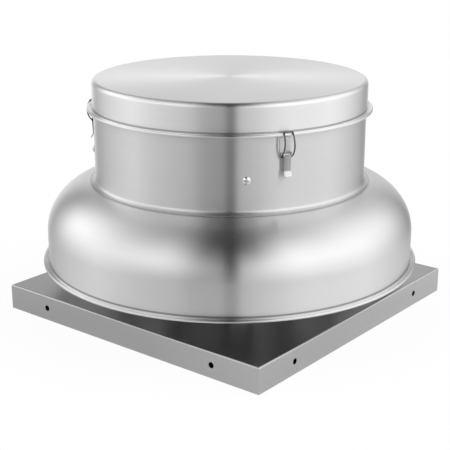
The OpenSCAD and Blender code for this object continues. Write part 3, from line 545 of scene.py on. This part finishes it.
def wire_rest_path():
    """Centre line of one bail: crank hole, bowed leg, hook over the rim, and back down."""
    hook_c = (SKIRT_R + RIM_W, COVER_ROLL_Z)
    hook = arc(hook_c, COVER_ROLL + WIRE_R + SLIP, HOOK_START, HOOK_END, 10)
    start = hook[0]
    dy, dz = start[0] - CRANK[0], start[1] - CRANK[1]
    length = math.hypot(dy, dz)
    steps = 20
    leg = []
    for k in range(1, steps):
        t = k / steps
        bow = WIRE_BOW * (1 - (2 * t - 1) ** 2)
        leg.append((CRANK[0] + dy * t + bow * dz / length, CRANK[1] + dz * t - bow * dy / length))
    rise = hook[-1][1] - CRANK[1]

    def half(z):
        return WIRE_HALF + (WIRE_TOP_HALF - WIRE_HALF) * (z - CRANK[1]) / rise

    climb = [(half(z), y, z) for y, z in leg + hook]
    # The wire's end in the lever, and the small bend up into the leg
    climb = [(EAR_IN - 1.3 * MM, *CRANK), (WIRE_HALF - 0.9 * MM, *CRANK),
             (WIRE_HALF - 0.25 * MM, CRANK[0] + 0.2 * MM, CRANK[1] + 0.3 * MM)] + climb
    return climb + [(-x, y, z) for x, y, z in climb[::-1]]


def bails():
    """The bent wires that hook over the cover's wired edge."""
    path = wire_rest_path()
    for i, angle in enumerate(LATCH_ANGLES, 1):
        mesh = bmesh.new()
        points = rounded([radial(angle, y, z, x) for x, y, z in path], WIRE_BEND, 4)
        tube(mesh, points, WIRE_R)
        data = finish_mesh(mesh, f"bail_wire_{i}", 50)
        new_object(f"bail_wire_{i}", data, MATERIALS["latch_wire"], f"bail_{i}",
                   "stainless_steel", f"latch_bail_{i}")


def plate(mesh, outline, place, thickness, bevel):
    """A sheet cut to an outline, its front edge broken by a small bevel."""
    count = len(outline)
    inset = []
    for k in range(count):
        before, here, after = outline[k - 1], outline[k], outline[(k + 1) % count]
        a = Vector((here[0] - before[0], here[1] - before[1])).normalized()
        b = Vector((after[0] - here[0], after[1] - here[1])).normalized()
        n = Vector((-(a.y + b.y), a.x + b.x)).normalized()
        grow = bevel / max(0.5, n.dot(Vector((-a.y, a.x))))
        inset.append((here[0] + n.x * grow, here[1] + n.y * grow))
    skin_rings(mesh, [[place(x, z, 0.0) for x, z in outline],
                      [place(x, z, thickness - bevel) for x, z in outline],
                      [place(x, z, thickness) for x, z in inset]])


def lever_strip():
    """Front contour of a lever: height and distance with the outward normal and the half width."""
    rows = []

    def add(centre, radius, angle, half):
        n = (math.cos(math.radians(angle)), math.sin(math.radians(angle)))
        rows.append((centre[0] + radius * n[0], centre[1] + radius * n[1], n, half))

    run = (LEVER_TIP[0] - PIVOT[0], LEVER_TIP[1] - PIVOT[1])
    face = math.degrees(math.atan2(-run[0], run[1]) + math.asin(
        (PIVOT_BOSS - TIP_BOSS) / math.hypot(*run))) + 180
    start, steps = 160, 12
    for k in range(steps + 1):
        add(PIVOT, PIVOT_BOSS, start + (face - start) * k / steps, LEVER_HALF)
    steps = 8
    for k in range(1, steps):
        t = k / steps
        centre = (PIVOT[0] + run[0] * t, PIVOT[1] + run[1] * t)
        add(centre, PIVOT_BOSS + (TIP_BOSS - PIVOT_BOSS) * t, face, LEVER_HALF)
    add(LEVER_TIP, TIP_BOSS, face, LEVER_HALF)
    flare = math.radians(TAB_FLARE)
    root = (LEVER_TIP[0] + TIP_BOSS, LEVER_TIP[1])
    n = (math.cos(flare), math.sin(flare))
    along = (math.sin(flare), -math.cos(flare))
    for s, angle in ((0.4 * MM, 3), (0.8 * MM, 13)):
        a = math.radians(angle)
        rows.append((root[0] + along[0] * s * 0.6, root[1] - s, (math.cos(a), math.sin(a)),
                     LEVER_HALF + 0.3 * MM))
    steps = 14
    for k in range(steps + 1):
        s = TAB_START + (TAB_LEN - TAB_START) * k / steps
        over = max(0.0, s - (TAB_LEN - TAB_CORNER))
        half = TAB_HALF - TAB_CORNER + math.sqrt(max(TAB_CORNER ** 2 - over ** 2, 0.0))
        rows.append((root[0] + along[0] * s, root[1] + along[1] * s, n, half))
    return rows


def lever_side():
    """Outline of a lever's side wall, just inside the strip's rounded edge."""
    dots = []
    for centre, radius in ((PIVOT, PIVOT_BOSS), (CRANK, CRANK_BOSS + LEVER_EDGE),
                           (LEVER_TIP, TIP_BOSS)):
        for shift in (0.0, LEVER_EDGE):
            dots += arc((centre[0] - shift, centre[1]), radius - LEVER_EDGE, 0, 350, 35)
    return [dots[k] for k in geometry.convex_hull_2d(dots)]


def levers():
    """The sheet levers: a folded front strip with a finger tab, and two side walls."""
    for i, angle in enumerate(LATCH_ANGLES, 1):
        mesh = bmesh.new()
        rings = []
        for y, z, n, half in lever_strip():
            depth, edge = LEVER_DEPTH, LEVER_EDGE
            if z < LEVER_TIP[1]:
                depth, edge = LATCH_SHEET + 0.02 * MM, TAB_EDGE
            outer = [(-half, -depth)]
            outer += [(-half + edge - edge * math.cos(math.radians(a)),
                       -edge + edge * math.sin(math.radians(a))) for a in (0, 30, 60, 90)]
            outer += [(-x, u) for x, u in outer[::-1]]
            inner = [(half - LATCH_SHEET, -depth), (half - LATCH_SHEET, -LATCH_SHEET),
                     (LATCH_SHEET - half, -LATCH_SHEET), (LATCH_SHEET - half, -depth)]
            rings.append([radial(angle, y + n[0] * u, z + n[1] * u, x) for x, u in outer + inner])
        skin_rings(mesh, rings)
        for side in (-1, 1):
            plate(mesh, lever_side(), lambda y, z, u, a=angle, s=side: radial(
                a, y, z, s * (LEVER_HALF - LATCH_SHEET + u)), LATCH_SHEET - 0.01 * MM, SIDE_BEVEL)
        data = finish_mesh(mesh, f"lever_sheet_{i}", 38)
        new_object(f"lever_sheet_{i}", data, MATERIALS["latch_lever"], f"lever_{i}",
                   "stainless_steel", f"latch_lever_{i}")


def latch_bases():
    """The latches' base plates, each with two ears for the lever's pin."""
    back = HOUSE_R + SEAT
    ear_out = EAR_IN + LATCH_SHEET
    for i, angle in enumerate(LATCH_ANGLES, 1):
        mesh = bmesh.new()
        outline = [(-ear_out, BASE_LOW), (ear_out, BASE_LOW), (ear_out, BASE_NECK),
                   (BASE_HALF, BASE_NECK)]
        for middle, start in ((BASE_HALF - BASE_CORNER, 0), (BASE_CORNER - BASE_HALF, 90)):
            outline += arc((middle, BASE_TOP - BASE_CORNER), BASE_CORNER, start, start + 90, 6)
        outline += [(-BASE_HALF, BASE_NECK), (-ear_out, BASE_NECK)]
        plate(mesh, outline, lambda x, z, u, a=angle: radial(a, back + u, z, x),
              LATCH_SHEET, BASE_BEVEL)
        top = PIVOT[1] + EAR_R
        ear = [(back + 0.3 * MM, top), (back + 0.3 * MM, top - 2 * EAR_R - 0.4 * MM)]
        ear += arc(PIVOT, EAR_R, -150, 90, 18)
        for side in (-1, 1):
            plate(mesh, ear,
                  lambda y, z, u, a=angle, s=side: radial(a, y, z, s * (EAR_IN + u)),
                  LATCH_SHEET, SIDE_BEVEL)
        data = finish_mesh(mesh, f"base_sheet_{i}")
        new_object(f"base_sheet_{i}", data, MATERIALS["latch_base"], "fan_body",
                   "stainless_steel", f"latch_base_{i}")


def dome(r, radius, height, edge):
    """Height of a domed head at a distance from its middle, above a straight edge."""
    ball = ((height - edge) ** 2 + radius ** 2) / (2 * (height - edge))
    return edge + math.sqrt(ball * ball - r * r) - (ball - (height - edge))


def dome_ring(radius, height, steps=8):
    """Profile of a domed head from its rim to just below the top."""
    edge = 0.18 * height
    inward = [radius * (1 - k / steps) for k in range(1, steps)]
    return [(radius, 0.0), (radius, edge)] + [(r, dome(r, radius, height, edge)) for r in inward]


def latch_rivets():
    """Domed rivets that hold the latch bases, their tails inside the housing."""
    reach = LATCH_SHEET + HOUSE_SHEET + 2 * SEAT + RIVET_TAIL_H
    face = HOUSE_R + SEAT + LATCH_SHEET
    tail_r = LATCH_RIVET_R + 0.8 * MM
    sides = 24
    mesh = bmesh.new()
    profile = [(tail_r, -reach), (tail_r, RIVET_TAIL_H - reach),
               (LATCH_RIVET_R, RIVET_TAIL_H - reach), (LATCH_RIVET_R, 0)]
    profile += dome_ring(LATCH_RIVET_R + 1.1 * MM, 0.8 * MM)
    for angle in LATCH_ANGLES:
        for height in LATCH_RIVETS:
            rings = [[radial(angle, face + u, height + r * math.sin(math.tau * k / sides),
                             r * math.cos(math.tau * k / sides)) for k in range(sides)]
                     for r, u in profile]
            skin_rings(mesh, rings)
    data = finish_mesh(mesh, "rivet_heads")
    new_object("rivet_heads", data, MATERIALS["zinc_steel"], "fan_body",
               "zinc_steel", "latch_rivets")


def cross_depth(x, y):
    """Depth of a cross recess at a point of the head: sloping arms that meet in a deeper middle."""
    arm = 0.55 * SCREW_HEAD_R
    width = 0.13 * SCREW_HEAD_R

    def one(along, over):
        edge = min(1.0, max(0.0, (arm - abs(along)) / (0.35 * arm)))
        side = min(1.0, max(0.0, (width - abs(over)) / (0.4 * width) + 0.4))
        return edge * (side if abs(over) < width else 0.0)

    return CROSS_DEPTH * max(one(x, y), one(y, x))


def housing_screws():
    """Pan head screws with a cross recess, four round the housing."""
    mesh = bmesh.new()
    sides, steps = 72, 26
    edge = 0.25 * SCREW_HEAD_H
    for i in range(4):
        angle = 45 + 90 * i
        turn = math.radians(20 + 33 * i)
        rings = [[(SCREW_R, -SCREW_REACH)] * sides, [(SCREW_R, 0.0)] * sides,
                 [(SCREW_HEAD_R, 0.0)] * sides, [(SCREW_HEAD_R, edge)] * sides]
        for k in range(1, steps):
            r = SCREW_HEAD_R * (1 - k / steps)
            top = dome(r, SCREW_HEAD_R, SCREW_HEAD_H, edge)
            rings.append([(r, top - cross_depth(r * math.cos(math.tau * j / sides + turn),
                                                r * math.sin(math.tau * j / sides + turn)))
                          for j in range(sides)])
        rings = [[radial(angle, HOUSE_R + u, SCREW_Z + r * math.sin(math.tau * j / sides),
                         r * math.cos(math.tau * j / sides)) for j, (r, u) in enumerate(ring)]
                 for ring in rings]
        skin_rings(mesh, rings)
    data = finish_mesh(mesh, "screw_heads", 30)
    new_object("screw_heads", data, MATERIALS["screw_steel"], "fan_body",
               "stainless_steel", "housing_screws")


# Brightness of the studio by height: degrees above the horizon, then degrees round from the
# camera's side, positive to its right, with the brightness there. Soft boxes stand on both sides of
# the camera, brightest above the horizon, with a narrow dark slit between them where the camera is.
# The backdrop behind the object is bright below the horizon. The ceiling is dark.
STUDIO = [
    (-30, [(-180, 0.9), (-150, 0.5), (-90, 0.85), (-35, 0.6), (-25, 0.4), (-5, 0.35), (-3, 0.15),
           (5, 0.15), (7, 0.5), (30, 0.5), (90, 0.65), (150, 1.0)]),
    (-8, [(-180, 1.3), (-160, 1.0), (-145, 0.45), (-125, 0.45), (-85, 0.75), (-45, 0.1),
          (-22, 0.1), (-4, 0.35), (-2, 0.25), (4, 0.25), (6, 0.55), (22, 0.3), (45, 0.65),
          (90, 0.9), (125, 0.5), (150, 0.25)]),
    (22, [(-180, 0.66), (-150, 0.2), (-125, 1.65), (-85, 1.3), (-45, 1.65), (-30, 1.4), (-18, 0.95),
          (-4, 0.5), (-2, 0.05), (4, 0.05), (6, 0.85), (22, 1.7), (45, 1.7), (90, 1.5),
          (125, 1.2), (150, 0.5)]),
    (50, [(-180, 0.7), (-150, 0.0), (-125, 0.85), (-85, 0.5), (-45, 0.8), (-22, 0.0), (22, 0.0),
          (45, 1.2), (90, 0.9), (125, 0.9), (150, 0.35)]),
]
# Height from which the ceiling is black, and what a colour ramp's values are multiplied by
STUDIO_TOP = 80
STUDIO_SCALE = 2.0
# Share of the floor's glow seen by the camera, and seen in the metal at the left and more at the
# right, the glow, and the floor's size
FLOOR_WHITE = 0.85
METAL_WHITE = 0.15
METAL_WHITE_RIGHT = 0.35
FLOOR_GLOW = 1.08
FLOOR_R = 0.5
FLOOR_T = 0.002
FLOOR_SPAN = 0.6


def ring_of_light(nodes, links, turned, stops):
    """Brightness round the object at one height, scaled down to fit a colour ramp."""
    stops = [(degrees, value / STUDIO_SCALE) for degrees, value in stops]
    first, last = stops[0], stops[-1]
    if first[0] > -180:
        gap = first[0] + 360 - last[0]
        joint = last[1] + (first[1] - last[1]) * (180 - last[0]) / gap
        stops = [(-180, joint)] + stops + [(180, joint)]
    else:
        stops = stops + [(180, first[1])]
    return ramp_node(nodes, links, turned, [
        (0.5 + degrees / 360.0, value) for degrees, value in stops])


def studio():
    """A room of soft light round the object, behind a white background."""
    world = bpy.data.worlds.new("studio")
    bpy.context.scene.world = world
    world.use_nodes = True
    nodes, links = world.node_tree.nodes, world.node_tree.links
    nodes.clear()
    out = nodes.new("ShaderNodeOutputWorld")
    direction = nodes.new("ShaderNodeTexCoord").outputs["Generated"]
    turn = nodes.new("ShaderNodeMapping")
    turn.vector_type = "POINT"
    turn.inputs["Rotation"].default_value[2] = math.radians(-CAM_AZIMUTH)
    links.new(direction, turn.inputs["Vector"])
    split = nodes.new("ShaderNodeSeparateXYZ")
    links.new(turn.outputs["Vector"], split.inputs["Vector"])
    x, y, z = split.outputs
    toward = math_node(nodes, links, "MULTIPLY", y, -1.0)
    azimuth = math_node(nodes, links, "ARCTAN2", x, toward)
    turned = math_node(nodes, links, "ADD",
                       math_node(nodes, links, "DIVIDE", azimuth, math.tau), 0.5)
    height = math_node(nodes, links, "MULTIPLY",
                       math_node(nodes, links, "ARCSINE", z), 180 / math.pi)
    level, low = None, None
    for degrees, stops in STUDIO:
        ring = ring_of_light(nodes, links, turned, stops)
        level = ring if level is None else blend(
            nodes, links, between(nodes, links, height, low, degrees), level, ring)
        low = degrees
    level = blend(nodes, links, between(nodes, links, height, low, STUDIO_TOP), level, 0.0)
    light = nodes.new("ShaderNodeBackground")
    light.inputs["Strength"].default_value = STUDIO_SCALE
    links.new(level, light.inputs["Color"])
    white = nodes.new("ShaderNodeBackground")
    white.inputs["Color"].default_value = (1, 1, 1, 1)
    mix = nodes.new("ShaderNodeMixShader")
    path = nodes.new("ShaderNodeLightPath")
    links.new(path.outputs["Is Camera Ray"], mix.inputs["Fac"])
    links.new(light.outputs["Background"], mix.inputs[1])
    links.new(white.outputs["Background"], mix.inputs[2])
    links.new(mix.outputs["Shader"], out.inputs["Surface"])


def floor():
    """A round pale floor, nearly white to the camera and in the metal, with its shadow left in."""
    section = [(0, 0), (FLOOR_R, 0), (FLOOR_R, -FLOOR_T), (0, -FLOOR_T)]
    data = lathe_mesh("studio_floor", section, 128)
    piece = bpy.data.objects.new("studio_floor", data)
    bpy.context.scene.collection.objects.link(piece)
    material = bpy.data.materials.new("pale floor")
    nodes, links, shader = node_tree(material)
    shader.inputs["Base Color"].default_value = (0.9, 0.9, 0.9, 1)
    shader.inputs["Roughness"].default_value = 0.9
    glow = nodes.new("ShaderNodeEmission")
    glow.inputs["Strength"].default_value = FLOOR_GLOW
    path = nodes.new("ShaderNodeLightPath").outputs
    x, y, _, _ = position(nodes, links)
    right = between(nodes, links, math_node(nodes, links, "ADD", x, y), -FLOOR_SPAN, FLOOR_SPAN)
    in_metal = math_node(nodes, links, "ADD", METAL_WHITE, math_node(
        nodes, links, "MULTIPLY", right, METAL_WHITE_RIGHT))
    out_of_cap = math_node(nodes, links, "GREATER_THAN", math_node(
        nodes, links, "MAXIMUM", math_node(nodes, links, "ABSOLUTE", x),
        math_node(nodes, links, "ABSOLUTE", y)), CAP_HALF)
    seen = math_node(nodes, links, "MAXIMUM", math_node(
        nodes, links, "MULTIPLY", path["Is Camera Ray"], FLOOR_WHITE), math_node(
            nodes, links, "MULTIPLY", in_metal, math_node(
                nodes, links, "MAXIMUM", path["Is Glossy Ray"], path["Is Transmission Ray"])))
    share = math_node(nodes, links, "MULTIPLY", seen, out_of_cap)
    mix = nodes.new("ShaderNodeMixShader")
    links.new(share, mix.inputs["Fac"])
    links.new(shader.outputs["BSDF"], mix.inputs[1])
    links.new(glow.outputs["Emission"], mix.inputs[2])
    out = next(node for node in nodes if node.type == "OUTPUT_MATERIAL")
    links.new(mix.outputs["Shader"], out.inputs["Surface"])
    data.materials.append(material)


def camera():
    """The camera that took the photograph."""
    data = bpy.data.cameras.new("photo camera")
    data.lens = CAM_LENS
    data.sensor_width = CAM_SENSOR
    piece = bpy.data.objects.new("photo camera", data)
    piece.location = CAM_PLACE
    piece.rotation_euler = (math.radians(CAM_PITCH), 0, math.radians(CAM_AZIMUTH))
    bpy.context.scene.collection.objects.link(piece)
    bpy.context.scene.camera = piece


bpy.context.scene.view_settings.view_transform = "Standard"
camera()
studio()
floor()
dress_cad_nodes()
windband()
motor_housing()
motor_cover()
latch_bases()
levers()
bails()
latch_rivets()
housing_screws()
